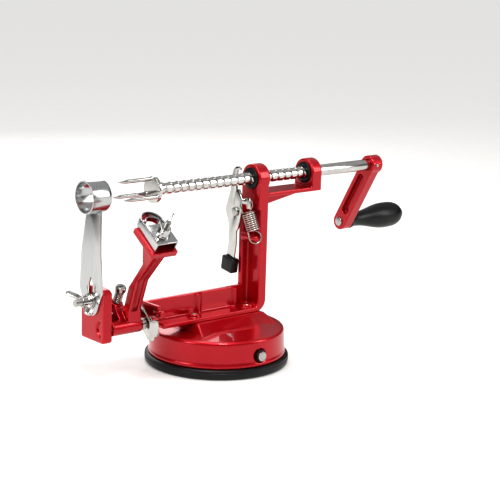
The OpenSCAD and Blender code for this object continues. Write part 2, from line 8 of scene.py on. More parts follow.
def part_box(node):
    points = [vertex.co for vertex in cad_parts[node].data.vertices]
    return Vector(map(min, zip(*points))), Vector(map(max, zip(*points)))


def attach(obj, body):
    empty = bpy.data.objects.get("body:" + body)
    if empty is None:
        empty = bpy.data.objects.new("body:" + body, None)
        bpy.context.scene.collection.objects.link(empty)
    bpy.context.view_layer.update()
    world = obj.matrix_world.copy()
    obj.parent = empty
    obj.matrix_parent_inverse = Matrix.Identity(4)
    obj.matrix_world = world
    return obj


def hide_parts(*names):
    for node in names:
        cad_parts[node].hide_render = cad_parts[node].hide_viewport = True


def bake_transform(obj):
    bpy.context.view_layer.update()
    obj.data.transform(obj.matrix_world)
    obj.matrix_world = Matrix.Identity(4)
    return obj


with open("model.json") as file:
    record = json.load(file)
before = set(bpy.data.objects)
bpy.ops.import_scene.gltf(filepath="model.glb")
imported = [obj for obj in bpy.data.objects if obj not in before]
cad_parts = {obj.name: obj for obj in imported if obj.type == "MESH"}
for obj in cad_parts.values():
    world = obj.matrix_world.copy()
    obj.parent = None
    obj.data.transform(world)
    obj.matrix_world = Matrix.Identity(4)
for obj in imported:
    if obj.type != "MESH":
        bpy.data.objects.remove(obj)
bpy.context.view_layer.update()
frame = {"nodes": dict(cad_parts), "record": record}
MM = 0.001

# ---- Camera, lights and floor
# A long lens from the left, a little above the table. Soft boxes, a weak sun and a pale studio
# that dims low down give enamel its broad highlights and steel its white and dark bands.
azimuth, elevation, roll = radians(-40.345), radians(12.621), radians(1.613)
forward = Vector((-sin(azimuth) * cos(elevation), cos(azimuth) * cos(elevation), -sin(elevation)))
level = Vector((cos(azimuth), sin(azimuth), 0))
above = level.cross(forward)
camera_right = level * cos(roll) + above * sin(roll)
camera_up = above * cos(roll) - level * sin(roll)
bpy.ops.object.camera_add()
camera = bpy.context.object
camera.matrix_world = Matrix((camera_right, camera_up, -forward)).transposed().to_4x4()
camera.location = (-0.64709, -0.79627, 0.31190)
camera.data.lens = 106
camera.data.sensor_width = 36
bpy.context.scene.camera = camera

aim = Vector((0, 0, 0.08))
soft_boxes = [
    ("left_box", (-0.9, 0.1, 0.5), 0.5, 0.5, 3.5),
    ("right_box", (0.7, -0.75, 0.5), 0.3, 0.7, 2.5),
    ("top_box", (-0.05, 0.1, 0.95), 0.7, 0.4, 2.5),
    ("back_box", (0.3, 0.9, 0.5), 0.8, 0.5, 2),
]
bpy.context.scene.view_settings.view_transform = "Standard"
bpy.context.scene.view_settings.look = "High Contrast"
for name, place, wide, high, watts in soft_boxes:
    bpy.ops.object.light_add(type="AREA", location=place)
    lamp = bpy.context.object
    lamp.name = name
    lamp.rotation_euler = (aim - Vector(place)).to_track_quat("-Z", "Y").to_euler()
    lamp.data.shape = "RECTANGLE"
    lamp.data.size, lamp.data.size_y = wide, high
    lamp.data.energy = watts
bpy.ops.object.light_add(type="SUN", rotation=(radians(32), radians(-18), 0))
bpy.context.object.data.energy = 1.25
bpy.context.object.data.angle = radians(14)


def add(tree, kind, links=None, **settings):
    """Adds a node with its settings; links holds each socket's value or the socket that feeds it."""
    new = tree.nodes.new("ShaderNode" + kind)
    for setting, value in settings.items():
        setattr(new, setting, value)
    for socket, value in (links or {}).items():
        if isinstance(value, bpy.types.NodeSocket):
            tree.links.new(value, new.inputs[socket])
        else:
            new.inputs[socket].default_value = value
    return new


def linear(colour):
    """The linear colour of an sRGB hex value."""
    shares = [int(colour[i:i + 2], 16) / 255 for i in (0, 2, 4)]
    return [c / 12.92 if c <= 0.04045 else ((c + 0.055) / 1.055) ** 2.4 for c in shares] + [1]


# The studio is bright overhead and dims towards the table, as a white tent does
world = bpy.data.worlds.new("studio")
world.use_nodes = True
bpy.context.scene.world = world
studio = world.node_tree
ray = add(studio, "TexCoord").outputs["Generated"]
height = add(studio, "SeparateXYZ", {0: ray}).outputs["Z"]
lift = add(studio, "MapRange", {"Value": height, "From Min": 0.1, "From Max": 0.55}).outputs[0]
tent = add(studio, "Mix", {0: lift, 6: linear("2C2D30"), 7: linear("FFFFFF")}, data_type="RGBA")
studio.links.new(tent.outputs[2], studio.nodes["Background"].inputs["Color"])
studio.nodes["Background"].inputs["Strength"].default_value = 0.4


def material(name):
    """A new material, its tree, its shader and the object's own coordinates."""
    new = bpy.data.materials.new(name)
    new.use_nodes = True
    tree = new.node_tree
    return new, tree, tree.nodes["Principled BSDF"], add(tree, "TexCoord").outputs["Object"]


paper, tree, shader, place = material("pale_paper")
fibre = add(tree, "TexNoise", {"Vector": place, "Scale": 60, "Detail": 4}).outputs["Fac"]
shade = add(tree, "Mix", {0: fibre, 6: linear("CCCBC8"), 7: linear("D3D2D0")}, data_type="RGBA")
tree.links.new(shade.outputs[2], shader.inputs["Base Color"])
shader.inputs["Roughness"].default_value = 0.7
shader.inputs["Emission Color"].default_value = linear("FFFFFF")
shader.inputs["Emission Strength"].default_value = 0.15
bpy.ops.mesh.primitive_plane_add(size=60, location=(0, 0, 0))
floor = bpy.context.object
floor.name = "floor"
floor.data.materials.append(paper)

# ---- Suction ring
# The foot's outer ring, moulded in black rubber: a flat tread on the table, a rounded bead
# round the outside and a lip that the metal base is pressed into.


def pick(piece):
    """Leaves only this piece selected and active."""
    bpy.ops.object.select_all(action="DESELECT")
    piece.select_set(True)
    bpy.context.view_layer.objects.active = piece


def shape(piece, kind, **settings):
    """Adds a modifier with its settings and applies it."""
    modifier = piece.modifiers.new(kind.lower(), kind)
    for setting, value in settings.items():
        setattr(modifier, setting, value)
    pick(piece)
    bpy.ops.object.modifier_apply(modifier=modifier.name)


def chain(name, points, link_ends=False):
    """A run of edges in the X and Z plane: a plane is merged to one vertex, which is extruded."""
    bpy.ops.object.select_all(action="DESELECT")
    x, z = points[0]
    bpy.ops.mesh.primitive_plane_add(size=MM, location=(0, 0, 0))
    piece = bpy.context.object
    piece.name = piece.data.name = name
    bpy.ops.object.mode_set(mode="EDIT")
    bpy.ops.mesh.merge(type="CENTER")
    bpy.ops.transform.translate(value=(x * MM, 0, z * MM))
    for there in points[1:]:
        step = ((there[0] - x) * MM, 0, (there[1] - z) * MM)
        bpy.ops.mesh.extrude_region_move(TRANSFORM_OT_translate={"value": step})
        x, z = there
    bpy.ops.mesh.select_all(action="SELECT")
    if link_ends:
        bpy.ops.mesh.remove_doubles(threshold=0.01 * MM)
    bpy.ops.object.mode_set(mode="OBJECT")
    return piece


def outward(piece, merge=0.004):
    """Merges a closed mesh's doubles and turns its faces outwards."""
    pick(piece)
    bpy.ops.object.mode_set(mode="EDIT")
    bpy.ops.mesh.select_all(action="SELECT")
    bpy.ops.mesh.remove_doubles(threshold=merge * MM)
    bpy.ops.mesh.normals_make_consistent(inside=False)
    bpy.ops.object.mode_set(mode="OBJECT")


def ease(piece, width, bends=40, segments=3):
    """Rounds a piece's edges by a width in millimetres and shades it smooth between them."""
    if width:
        shape(piece, "BEVEL", width=width * MM, segments=segments, limit_method="ANGLE",
              angle_limit=radians(bends), miter_outer="MITER_ARC", loop_slide=False)
    pick(piece)
    bpy.ops.object.shade_smooth_by_angle(angle=radians(35))


def move(piece, place):
    """Moves a piece by a matrix and puts the move in its mesh."""
    piece.matrix_world = place @ piece.matrix_world
    pick(piece)
    bpy.ops.object.transform_apply()


def settle(piece, at=(0, 0, 0), along=(0, 0, 1)):
    """Turns a piece's Z axis along a direction and moves it to a place in millimetres."""
    turn = Vector(along).to_track_quat("Z", "Y").to_matrix().to_4x4()
    move(piece, Matrix.Translation(Vector(at) * MM) @ turn)


def turned(name, profile, at=(0, 0, 0), along=(0, 0, 1), width=0.3, sides=96, ring=False):
    """Turns a profile of (radius, height) about an axis, as on a lathe, and rounds its edges."""
    piece = chain(name, profile + profile[:1] if ring else profile, ring)
    shape(piece, "SCREW", axis="Z", steps=sides, render_steps=sides, use_merge_vertices=True,
          merge_threshold=0.004 * MM)
    outward(piece)
    ease(piece, width)
    settle(piece, at, along)
    return piece


bodies = frame["record"]["behaviour"]["bodies"]
body_of = {node: body for body, nodes in bodies.items() for node in nodes}


def stand_in(piece, node, finish, rides=True):
    """Gives a piece its finish and puts it in the place of a CAD node, on that node's body."""
    piece.data.materials.clear()
    piece.data.materials.append(finish)
    if rides:
        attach(piece, body_of[node])
    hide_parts(node)


# Moulded natural rubber: near black with a soft sheen, a fine moulded grain and a little dust
rubber, tree, shader, place = material("moulded_rubber")
dust = add(tree, "TexNoise", {"Vector": place, "Scale": 90, "Detail": 5}).outputs["Fac"]
shade = add(tree, "Mix", {0: dust, 6: linear("050506"), 7: linear("101113")}, data_type="RGBA")
tree.links.new(shade.outputs[2], shader.inputs["Base Color"])
worn = add(tree, "MapRange", {"Value": dust, "To Min": 0.28, "To Max": 0.48}).outputs[0]
tree.links.new(worn, shader.inputs["Roughness"])
grain = add(tree, "TexNoise", {"Vector": place, "Scale": 1 / (0.5 * MM), "Detail": 2}).outputs["Fac"]
skin = add(tree, "Bump", {"Height": grain, "Strength": 0.12, "Distance": 0.05 * MM})
tree.links.new(skin.outputs[0], shader.inputs["Normal"])
shader.inputs["IOR"].default_value = 1.52

foot = turned("suction_ring_moulded", [
    (42, 0), (49.2, 0), (50.8, 0.5), (51.7, 1.5), (52, 2.9), (52, 4.9), (51.75, 5.1),
    (51.75, 5.35), (51.95, 5.5), (51.8, 6.5), (51, 7.3), (50, 7.5), (48.4, 7.5), (46.1, 7.5),
    (46.1, 3.2), (42, 3.2),
], width=0.25, sides=128, ring=True)
stand_in(foot, "suction_ring", rubber)

# ---- Diaphragm
# The thin rubber dish inside the foot, moulded with rings so that it folds evenly when the
# cam draws its middle up and makes the vacuum.
dish_r, dish_out_r, dish_mid = 42, 30, 15
ripple = [(dish_out_r - 1.5 * i, 0.9 + 0.33 * i + 0.25 * (i % 2)) for i in range(1, 10)]
dish = turned("diaphragm_moulded", [
    (0.01, 4.2), (8, 4.2), (9, 3.9), (11, 3.9), (12, 4.2), (dish_mid, 4.2), *ripple[::-1],
    (dish_out_r, 0.9), (dish_r, 0.9), (dish_r, 3), (dish_out_r, 3), (dish_mid, 6.9), (0.01, 6.9),
], width=0.15, ring=True)
stand_in(dish, "diaphragm", rubber, rides=False)
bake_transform(dish)

# ---- Base housing
# A round dome with a tapered platform on top, die cast in zinc alloy with rounded edges, and
# hollow for the cam. It is sprayed and stoved in candy red enamel like the other castings.


def copied(node, name):
    """A loose copy of a CAD solid, with its doubles merged and its faces outwards."""
    piece = frame["nodes"][node].copy()
    piece.data = piece.data.copy()
    bpy.context.scene.collection.objects.link(piece)
    piece.name = piece.data.name = name
    piece.parent = None
    for key in [k for k in piece.keys() if k.startswith("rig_")]:
        del piece[key]
    outward(piece)
    return piece


def cast(node, grid, smoothing):
    """A casting with fillets: the CAD solid's copy is meshed afresh on a grid and relaxed."""
    piece = copied(node, node + "_cast")
    shape(piece, "REMESH", mode="VOXEL", voxel_size=grid * MM)
    shape(piece, "SMOOTH", factor=0.5, iterations=smoothing)
    pick(piece)
    bpy.ops.object.shade_smooth()
    return piece


# Stoved candy red enamel: a translucent red over bright metal under a hard clear coat, with a faint
# orange peel. Painted shade darkens the red in the corners, and a painted highlight brightens it on
# the edges.
enamel, tree, shader, place = material("candy_red_enamel")
bend = add(tree, "NewGeometry").outputs["Pointiness"]
# Painted shade and highlight: the mesh's pointiness darkens the red in hollows and brightens it on
# edges
shade_to_highlight = add(tree, "MapRange", {"Value": bend, "From Min": 0.42, "From Max": 0.58}).outputs[0]
cloud = add(tree, "TexNoise", {"Vector": place, "Scale": 1 / (18 * MM), "Detail": 3}).outputs["Fac"]
painted_shade_and_highlight = add(tree, "Mix", {0: shade_to_highlight, 6: linear("700014"), 7: linear("D8001F")}, data_type="RGBA")
drift = add(tree, "Mix", {0: cloud, 6: linear("A8001C"), 7: linear("C40022")}, data_type="RGBA")
shade = add(tree, "Mix", {0: 0.5, 6: painted_shade_and_highlight.outputs[2], 7: drift.outputs[2]}, data_type="RGBA")
tree.links.new(shade.outputs[2], shader.inputs["Base Color"])
peel = add(tree, "TexNoise", {"Vector": place, "Scale": 1 / (1.6 * MM), "Detail": 1}).outputs["Fac"]
skin = add(tree, "Bump", {"Height": peel, "Strength": 0.08, "Distance": 0.06 * MM})
tree.links.new(skin.outputs[0], shader.inputs["Normal"])
shader.inputs["Metallic"].default_value = 0.6
shader.inputs["Roughness"].default_value = 0.34
shader.inputs["Coat Weight"].default_value = 0.7
shader.inputs["Coat Roughness"].default_value = 0.04
shader.inputs["IOR"].default_value = 1.5

stand_in(cast("base_housing", 0.6, 6), "base_housing", enamel)

# ---- Pad stud
# A steel disc riveted through the diaphragm's middle, with a yoke above it that the cam turns
# in. It lifts the middle of the dish and lets it down again.


def stamped(node, width, segments=2, bends=40):
    """A pressed or turned piece with eased edges: the CAD solid's copy, joined up and bevelled."""
    piece = copied(node, node + "_eased")
    pick(piece)
    bpy.ops.object.mode_set(mode="EDIT")
    bpy.ops.mesh.select_all(action="SELECT")
    bpy.ops.mesh.dissolve_limited(angle_limit=radians(1))
    bpy.ops.object.mode_set(mode="OBJECT")
    ease(piece, width, bends, segments)
    return piece


# Zinc-plated mild steel: a cool silver with a faint straw drift and a satin lustre
zinc, tree, shader, place = material("zinc_plated_steel")
drift = add(tree, "TexNoise", {"Vector": place, "Scale": 1 / (6 * MM), "Detail": 4}).outputs["Fac"]
shade = add(tree, "Mix", {0: drift, 6: linear("A6A8AC"), 7: linear("CBC7BC")}, data_type="RGBA")
tree.links.new(shade.outputs[2], shader.inputs["Base Color"])
lustre = add(tree, "MapRange", {"Value": drift, "To Min": 0.2, "To Max": 0.34}).outputs[0]
tree.links.new(lustre, shader.inputs["Roughness"])
shader.inputs["Metallic"].default_value = 1

stand_in(stamped("pad_stud", 0.3), "pad_stud", zinc)

# ---- Cam shaft and clip
# A plain steel shaft runs across the base, with an eccentric in its middle for the yoke. A
# moulded black spring clip holds its near end.
stand_in(stamped("cam_shaft", 0.3), "cam_shaft", zinc)

# Black nylon: satin and nearly black, with a fine spark-eroded grain
nylon, tree, shader, place = material("black_nylon")
cloud = add(tree, "TexNoise", {"Vector": place, "Scale": 1 / (9 * MM), "Detail": 3}).outputs["Fac"]
shade = add(tree, "Mix", {0: cloud, 6: linear("060607"), 7: linear("0E0E10")}, data_type="RGBA")
tree.links.new(shade.outputs[2], shader.inputs["Base Color"])
grain = add(tree, "TexNoise", {"Vector": place, "Scale": 1 / (0.45 * MM), "Detail": 2}).outputs["Fac"]
skin = add(tree, "Bump", {"Height": grain, "Strength": 0.15, "Distance": 0.04 * MM})
tree.links.new(skin.outputs[0], shader.inputs["Normal"])
shader.inputs["Roughness"].default_value = 0.36
shader.inputs["IOR"].default_value = 1.53

stand_in(stamped("cam_clip", 0.2), "cam_clip", nylon)

# ---- Suction lever and nut
# A red cast lever for the hand on the shaft's far end. A plated nut holds it there.
stand_in(stamped("lever_nut", 0.3), "lever_nut", zinc)
stand_in(cast("suction_lever", 0.45, 8), "suction_lever", enamel)

# ---- Frame
# The C-shaped casting: a web along the back with flanges towards the user, two ribs, a post
# for the blade and two eyes for the shaft. Two screws from below hold it to the base.
stand_in(cast("frame_casting", 0.55, 5), "frame_casting", enamel)
stand_in(stamped("frame_screws", 0.4), "frame_screws", zinc)

# ---- Bushes
# Two flanged bushes of black nylon line the frame's eyes, so that the shaft turns and slides
# in them without wear.
for node in ("front_bush", "rear_bush"):
    stand_in(stamped(node, 0.3), node, nylon)

# ---- Feed screw
# A bright rod with a wide flat crest and a narrow groove, rolled as a right-hand thread with
# four turns to the inch. The plain end runs through the rear eye to the crank.
axis_z = 131
pitch, crest_r, root_r = 6.35, 4.3, 3.4
groove, groove_floor = 2.4, 1.2


def threaded(name, profile, lead, turns, sides=48):
    """Winds a profile of (radius, height) one lead long about Z, so that its turns join."""
    piece = chain(name, profile)
    shape(piece, "SCREW", axis="Z", screw_offset=lead * MM, iterations=turns, steps=sides,
          render_steps=sides, use_merge_vertices=True, merge_threshold=0.004 * MM)
    return piece


def cut_ends(piece, low, high):
    """Cuts a piece off square at two heights along Z and closes the cuts."""
    pick(piece)
    bpy.ops.object.mode_set(mode="EDIT")
    for z, clear_above in ((low, False), (high, True)):
        bpy.ops.mesh.select_all(action="SELECT")
        bpy.ops.mesh.bisect(plane_co=(0, 0, z * MM), plane_no=(0, 0, 1), use_fill=True,
                            clear_inner=not clear_above, clear_outer=clear_above)
    bpy.ops.object.mode_set(mode="OBJECT")
    outward(piece)


def join(name, pieces):
    """Joins pieces into the first one and names it."""
    pick(pieces[0])
    for other in pieces[1:]:
        other.select_set(True)
    bpy.ops.object.join()
    pieces[0].name = pieces[0].data.name = name
    return pieces[0]


rod_low, rod_high = (corner.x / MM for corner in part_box("feed_screw"))
tooth_x, tooth_turns = 20.75, 12.25
thread_turns, spare_turns = 24, 3
thread_low = tooth_x - tooth_turns * pitch
thread_high = thread_low + thread_turns * pitch
wall = (groove - groove_floor) / 2
turn_profile = [
    (crest_r, -pitch / 2), (crest_r, -groove / 2 - 0.15), (crest_r - 0.15, -groove / 2 + 0.05),
    (root_r, -groove / 2 + wall),
    (root_r, groove / 2 - wall), (crest_r - 0.15, groove / 2 - 0.05), (crest_r, groove / 2 + 0.15),
    (crest_r, pitch / 2),
]
thread = threaded("feed_screw_rolled", turn_profile, pitch, thread_turns + spare_turns)
settle(thread, (0, 0, -2 * pitch))
cut_ends(thread, 0.3, thread_high - thread_low - 1.5 * pitch)
ease(thread, 0)
settle(thread, (thread_low, 0, axis_z), (1, 0, 0))
neck_len, plain_r = 4.4, 4.2
neck = turned("neck", [(0, 0), (root_r, 0), (root_r, neck_len), (0, neck_len)],
              (rod_low, 0, axis_z), (1, 0, 0))
plain_low = thread_high - 2 * pitch
plain_len = rod_high - plain_low
plain = turned("plain", [(0, 0), (plain_r, 0), (plain_r, plain_len), (0, plain_len)],
               (plain_low, 0, axis_z), (1, 0, 0), width=0.4)

# Bright nickel plate over polished steel: almost white and mirror bright, with faint smears, and
# painted shade that darkens the grooves
nickel, tree, shader, place = material("bright_nickel_plate")
smear = add(tree, "TexNoise", {"Vector": place, "Scale": 1 / (8 * MM), "Detail": 5}).outputs["Fac"]
plate = add(tree, "Mix", {0: smear, 6: linear("B4B3B0"), 7: linear("DCDBD8")}, data_type="RGBA")
# Painted shade: the mesh's pointiness darkens the colour in grooves and hollows
bend = add(tree, "NewGeometry").outputs["Pointiness"]
painted_groove_shade = add(tree, "MapRange", {"Value": bend, "From Min": 0.38, "From Max": 0.475}).outputs[0]
shade = add(tree, "Mix", {0: painted_groove_shade, 6: linear("3A3936"), 7: plate.outputs[2]}, data_type="RGBA")
tree.links.new(shade.outputs[2], shader.inputs["Base Color"])
lustre = add(tree, "MapRange", {"Value": smear, "To Min": 0.09, "To Max": 0.2}).outputs[0]
tree.links.new(lustre, shader.inputs["Roughness"])
shader.inputs["Metallic"].default_value = 1

stand_in(join("feed_screw_rolled", [thread, neck, plain]), "feed_screw", nickel)

# ---- Fruit fork
# Three ground steel prongs are riveted into a disc with a short hub, which is pressed on to
# the end of the feed screw. The prongs hold the fruit so that it turns with the screw.
tip_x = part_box("fruit_fork")[0].x / MM
disc_x, hub_len = -60, 2.5
prong_r, prong_ring_r, prong_len = 1.5, 7.6, disc_x - tip_x + 0.6
disc = turned("disc", [(0, 0), (9.3, 0), (9.3, 2.4), (5.5, 2.4), (5.5, hub_len), (0, hub_len)],
              (disc_x, 0, axis_z), (1, 0, 0), width=0.35)
prongs = [disc]
for turn in (90, 210, 330):
    y, z = prong_ring_r * cos(radians(turn)), prong_ring_r * sin(radians(turn))
    prong = turned("prong", [(0, 0), (0.35, 0.15), (0.9, 2.4), (1.35, 4.8), (prong_r, 7),
                             (prong_r, prong_len), (0, prong_len)],
                   (tip_x, y, axis_z + z), (1, 0, 0), width=0, sides=32)
    rivet = turned("rivet", [(0, 0), (1.9, 0), (1.9, 0.25), (1.2, 0.6), (0, 0.7)],
                   (disc_x, y, axis_z + z), (-1, 0, 0), width=0, sides=32)
    prongs += [prong, rivet]
stand_in(join("fruit_fork_riveted", prongs), "fruit_fork", nickel)

# ---- Crank
# A red cast arm with a long lightening channel. It is pinned to the rod's end, and its far
# end carries a riveted steel pin that the grip turns on.
stand_in(cast("crank_arm", 0.33, 6), "crank_arm", enamel)
stand_in(stamped("crank_pin", 0.25), "crank_pin", zinc)
stand_in(stamped("grip_pin", 0.5), "grip_pin", zinc)

# ---- Grip
# A pear-shaped grip moulded in black nylon, with a flared collar next to the crank, a narrow
# waist for two fingers and a round end that is closed by a pressed-in cap.
grip_low, grip_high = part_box("grip")
grip_len = (grip_high.x - grip_low.x) / MM
crank_y = (grip_low.y + grip_high.y) / 2 / MM
crank_z = (grip_low.z + grip_high.z) / 2 / MM
collar_r, waist_r, belly_r, belly_at = 6.6, 5.5, 10.1, 0.67
pin_r, cap_r, cap_depth = 3.1, 4.7, 7


def grip_radius(t):
    """The grip's radius at a share of its length: collar, waist, belly and round end."""
    if t < 0.12:
        return collar_r - (collar_r - waist_r) * sin(pi / 2 * t / 0.12)
    if t < belly_at:
        return waist_r + (belly_r - waist_r) * sin(pi / 2 * (t - 0.12) / (belly_at - 0.12)) ** 2
    return belly_r * (1 - ((t - belly_at) / (1 - belly_at)) ** 3.2) ** 0.5


steps, shell_share = 40, 0.985
shell = [(grip_radius(i / steps * shell_share), i / steps * shell_share * grip_len)
         for i in range(steps + 1)]
shell = [(r, h) for r, h in shell if r > cap_r + 0.05]
grip = turned("grip_moulded", [
    (pin_r, 0.2), (collar_r - 0.5, 0), (collar_r, 0.4), *shell[1:], (cap_r, grip_len - 0.6),
    (cap_r, grip_len - cap_depth), (pin_r, grip_len - cap_depth),
], (grip_low.x / MM, crank_y, crank_z), (1, 0, 0), width=0, sides=72, ring=True)
stand_in(grip, "grip", nylon)
cap = turned("grip_cap_pressed", [(0, 0), (4.65, 0), (4.65, 3.2), (4.2, 3.6), (2.6, 3.9), (0, 4)],
             (grip_high.x / MM - 4, crank_y, crank_z), (1, 0, 0), width=0.15)
stand_in(cap, "grip_cap", nylon)

# ---- Quick release
# A nickelled steel lever swings on a rivet beside the column. Its hooked tooth drops in the
# screw's groove, and its foot has a dipped vinyl cap for the thumb.
stand_in(stamped("release_plate", 0.22), "release_plate", nickel)
stand_in(stamped("release_pivot", 0.35), "release_pivot", zinc)
stand_in(stamped("release_cap", 0.8, segments=4, bends=50), "release_cap", nylon)

# ---- Release spring
# An extension spring wound from drawn steel wire, with a full loop at each end. One loop is
# over the casting's post and the other hangs on the lever's hook.


def wire(name, points, thickness):
    """Round wire bent smoothly through points in millimetres, with closed ends."""
    curve = bpy.data.curves.new(name, "CURVE")
    curve.dimensions = "3D"
    run = curve.splines.new("NURBS")
    run.points.add(len(points) - 1)
    for knot, point in zip(run.points, points):
        knot.co = (*(Vector(point) * MM), 1)
    run.order_u = 4
    run.use_endpoint_u = True
    run.resolution_u = 2
    curve.bevel_depth = thickness / 2 * MM
    curve.bevel_resolution = 3
    curve.use_fill_caps = True
    piece = bpy.data.objects.new(name, curve)
    bpy.context.scene.collection.objects.link(piece)
    pick(piece)
    bpy.ops.object.convert(target="MESH")
    outward(piece)
    pick(piece)
    bpy.ops.object.shade_smooth_by_angle(angle=radians(50))
    return piece


# Drawn spring steel: darker than plate, with fine draw lines round the wire
drawn, tree, shader, place = material("drawn_spring_steel")
lines = add(tree, "TexNoise", {"Vector": place, "Scale": 1 / (0.8 * MM), "Detail": 3}).outputs["Fac"]
shade = add(tree, "Mix", {0: lines, 6: linear("A9A7A2"), 7: linear("D9D6CE")}, data_type="RGBA")
tree.links.new(shade.outputs[2], shader.inputs["Base Color"])
lustre = add(tree, "MapRange", {"Value": lines, "To Min": 0.16, "To Max": 0.32}).outputs[0]
tree.links.new(lustre, shader.inputs["Roughness"])
shader.inputs["Metallic"].default_value = 1

hook_low, hook_high = Vector((24.5, -11, 90)), Vector((20.8, -4.4, 112.8))
coil_r, loop_r, coil_turns, coil_inset = 4.55, 4.6, 9, 5.3
pull = (hook_high - hook_low).normalized()
side = Vector((cos(radians(22)), -sin(radians(22)), 0))
side = (side - pull * pull.dot(side)).normalized()
out = pull.cross(side)
low_loop = [hook_low + loop_r * (cos(radians(a)) * pull + sin(radians(a)) * side)
            + out * 0.6 * (300 - a) / 280 for a in range(20, 301, 20)]
high_loop = [hook_high - loop_r * (cos(radians(a)) * pull - sin(radians(a)) * side)
             - out * 0.6 * (300 - a) / 280 for a in range(300, 19, -20)]
rise = (hook_high - hook_low).length - 2 * coil_inset
around = 16
coil = []
for i in range(coil_turns * around + 1):
    turn = radians(180 + 360 * i / around)
    up = coil_inset + rise * i / (coil_turns * around)
    coil.append(hook_low + up * pull + coil_r * (cos(turn) * side + sin(turn) * out))
release_spring = wire("release_spring_wound", low_loop + coil + high_loop, 1)
stand_in(release_spring, "release_spring", drawn, rides=False)
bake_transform(release_spring)

# ---- Slicing blade and coring ring
# A flat stainless strip with a pointed slot for its bolt carries the coring ring, a short tube
# ground sharp at its front edge. The strip's own edge cuts the fruit in a spiral.

# Polished stainless blade steel: bright, with fine polishing lines along the blade
stainless, tree, shader, place = material("polished_blade_steel")
line_width, line_run = 0.35 * MM, 9 * MM
stretch = (1 / line_width, 1 / line_width, 1 / line_run)
fine = add(tree, "Mapping", {"Vector": place, "Scale": stretch})
lines = add(tree, "TexNoise", {"Vector": fine.outputs[0], "Scale": 1, "Detail": 3}).outputs["Fac"]
shade = add(tree, "Mix", {0: lines, 6: linear("A9ABAD"), 7: linear("D6D6D4")}, data_type="RGBA")
tree.links.new(shade.outputs[2], shader.inputs["Base Color"])
lustre = add(tree, "MapRange", {"Value": lines, "To Min": 0.12, "To Max": 0.26}).outputs[0]
tree.links.new(lustre, shader.inputs["Roughness"])
skin = add(tree, "Bump", {"Height": lines, "Strength": 0.1, "Distance": 0.02 * MM})
tree.links.new(skin.outputs[0], shader.inputs["Normal"])
shader.inputs["Metallic"].default_value = 1

stand_in(stamped("slicing_blade", 0.2), "slicing_blade", stainless)
ring_low, ring_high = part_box("corer_ring")
ring_len, ring_r = (ring_high.x - ring_low.x) / MM, (ring_high.y - ring_low.y) / 2 / MM
ring = turned("corer_ring_ground", [
    (ring_r - 1, 0), (ring_r - 0.15, 0), (ring_r, 0.2), (ring_r, ring_len - 2.4),
    (ring_r - 0.85, ring_len), (ring_r - 1, ring_len),
], (ring_low.x / MM, 0, axis_z), (1, 0, 0), width=0.06, ring=True)
stand_in(ring, "corer_ring", stainless)

# ---- Blade bolt, washer and wing nut
# A hexagon bolt with a rolled metric thread holds the blade on its post, under a plain washer
# and a cast wing nut for the fingers.


def bolt_thread(name, radius, lead, length):
    """The threaded end of a small bolt, along Z from the origin."""
    turns = int(length / lead) + 3
    crest = [(radius - 0.3, -lead / 2), (radius, 0), (radius - 0.3, lead / 2)]
    piece = threaded(name, crest, lead, turns, sides=24)
    settle(piece, (0, 0, -lead))
    cut_ends(piece, 0, length)
    ease(piece, 0)
    return piece


def wing_nut(name, bore_r, span, place):
    """A cast wing nut on a bolt along Z: a hub and two round-ended wings that lean outwards."""
    hub_r, hub_h, wing_r, wing_t, lean = 4, 6.5, 3, 1.8, 25
    root, tip = Vector((hub_r - 1.5, 3.6)), Vector((span / 2 - wing_r, 8))
    parts = [turned("hub", [(bore_r, 0), (5, 0), (5, 1), (hub_r + 0.4, 1.4), (hub_r, 2.2),
                            (hub_r - 0.3, hub_h), (bore_r, hub_h)], width=0.25, sides=48, ring=True)]
    rounding = [Vector((cos(radians(a)), sin(radians(a)))) for a in range(lean - 90, lean + 91, 18)]
    outline = [root + 2.2 * rounding[0], *(tip + wing_r * turn for turn in rounding),
               root + 2.2 * rounding[-1]]
    for side in (1, -1):
        wing = chain("wing", [(side * x, z) for x, z in [*outline, outline[0]]], True)
        bpy.ops.object.mode_set(mode="EDIT")
        bpy.ops.mesh.select_all(action="SELECT")
        bpy.ops.mesh.edge_face_add()
        bpy.ops.object.mode_set(mode="OBJECT")
        shape(wing, "SOLIDIFY", thickness=wing_t * MM, offset=0)
        outward(wing)
        ease(wing, 0.6, segments=4)
        parts.append(wing)
    nut = join(name, parts)
    move(nut, place)
    return nut


bolt_low, bolt_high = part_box("blade_bolt")
bolt_y, bolt_z = 3.5, 59
bolt_r, bolt_pitch, hex_r, head_t = 2.5, 0.8, 4.5, 3.4
shank_len = (bolt_high.x - bolt_low.x) / MM - head_t
shank = bolt_thread("shank", bolt_r, bolt_pitch, shank_len)
settle(shank, (bolt_low.x / MM, bolt_y, bolt_z), (1, 0, 0))
bpy.ops.object.select_all(action="DESELECT")
bpy.ops.mesh.primitive_cylinder_add(vertices=6, radius=hex_r * MM, depth=head_t * MM)
head = bpy.context.object
ease(head, 0.35)
settle(head, (bolt_high.x / MM - head_t / 2, bolt_y, bolt_z), (1, 0, 0))
stand_in(join("blade_bolt_rolled", [shank, head]), "blade_bolt", zinc)
stand_in(stamped("blade_washer", 0.25), "blade_washer", zinc)
nut_seat = Vector((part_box("blade_washer")[0].x / MM - 0.05, bolt_y, bolt_z))
blade_span, blade_nut_turn = 30, radians(20)
nut_turn = Matrix.Rotation(blade_nut_turn, 4, "X") @ Matrix.Rotation(-pi / 2, 4, "Y")
nut = wing_nut("blade_wing_nut_cast", bolt_r + 0.05, blade_span, Matrix.Translation(nut_seat * MM)
               @ nut_turn @ Matrix.Rotation(pi / 2, 4, "Z"))
stand_in(nut, "blade_wing_nut", nickel)

# ---- Peeling arm
# A bent red casting that swings on a steel pin. It has a long channel along its outer face, a
# pad for the peeling blade and a lug for the adjusting screw that sets how deep it cuts.
stand_in(cast("peeling_arm", 0.38, 5), "peeling_arm", enamel)
stand_in(stamped("arm_pivot_pin", 0.4), "arm_pivot_pin", zinc)

